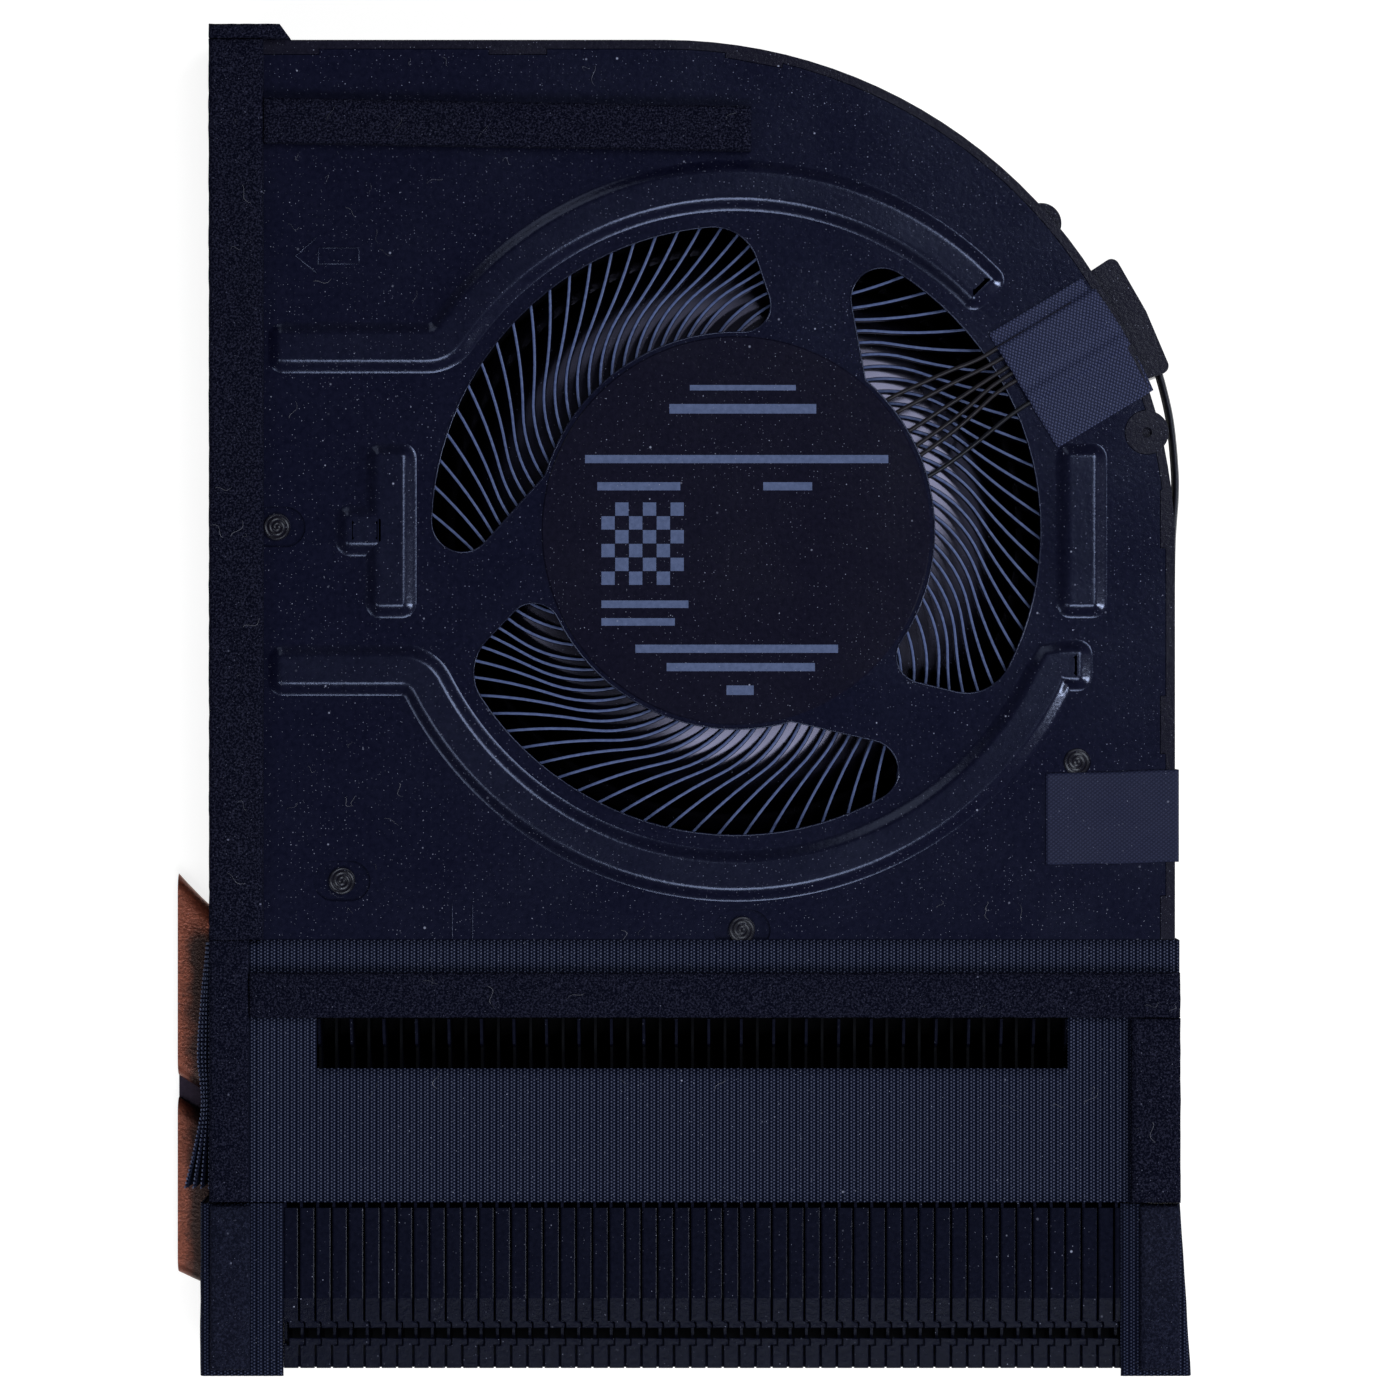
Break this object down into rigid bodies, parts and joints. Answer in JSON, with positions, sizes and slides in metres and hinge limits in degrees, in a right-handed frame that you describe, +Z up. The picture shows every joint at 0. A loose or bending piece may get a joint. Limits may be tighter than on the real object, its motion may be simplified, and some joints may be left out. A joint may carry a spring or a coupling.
{
  "type": "laptop blower with heatsink",
  "caption": "Flat laptop cooling blower: a bladed impeller in a black housing with foam gaskets, blowing through a fin stack on flattened copper heat pipes.",
  "frame": {"origin": "middle of the bounding box in plan, on the underside that the base and the pipes lie on", "axes": "+Z up towards the label side, +Y away from the fins, +X to the right seen from above"},
  "size_m": [0.0754, 0.0994, 0.0092],
  "materials": {
    "black_steel": "matte dark coating on stamped sheet",
    "black_plastic": "moulded, lightly textured",
    "gloss_black": "moulded, glossy",
    "label_film": "dark film",
    "cup_steel": "drawn",
    "magnet": "sintered, dull",
    "shaft_steel": "ground",
    "bearing_bronze": "sintered",
    "tube_brass": "turned",
    "pad_plastic": "moulded",
    "lamination": "stamped",
    "coil_copper": "enamelled copper wire",
    "board": "solder mask",
    "chip": "moulded",
    "wire_coat": "dark insulation",
    "cloth_tape": "black woven tape",
    "fin_metal": "dark plated sheet",
    "pipe_copper": "dull copper",
    "strip_rubber": "dark filler",
    "duct_fabric": "ribbed black weave",
    "foam": "fine black foam"
  },
  "bodies": {
    "housing": {"base_cover": "black_steel", "fan_frame": "black_plastic", "fan_cover": "black_steel", "hub_label": "label_film", "bearing_tube": "tube_brass", "bearing_sleeve": "bearing_bronze", "thrust_pad": "pad_plastic", "stator_core": "lamination", "stator_coils": "coil_copper", "motor_board": "board", "drive_chip": "chip", "motor_leads": "wire_coat", "lead_tape": "cloth_tape", "side_cable": "wire_coat", "side_tape": "cloth_tape", "fin_stack": "fin_metal", "upper_heat_pipe": "pipe_copper", "lower_heat_pipe": "pipe_copper", "pipe_strip": "strip_rubber", "duct_cloth": "duct_fabric", "left_flap": "duct_fabric", "left_end_wrap": "duct_fabric", "right_end_wrap": "duct_fabric", "left_end_pad": "foam", "right_end_pad": "foam", "left_gasket": "foam", "top_gasket": "foam", "cross_gasket": "foam", "right_gasket": "foam", "corner_cap": "foam"},
    "rotor": {"impeller": "gloss_black", "rotor_cup": "cup_steel", "magnet_ring": "magnet", "shaft": "shaft_steel"}
  },
  "joints": [
    {"name": "impeller_spin", "type": "hinge", "parent": "housing", "child": "rotor", "pos_m": [0.00405, 0.0125, 0.004], "axis": [0, 0, 1], "continuous": true}
  ]
}
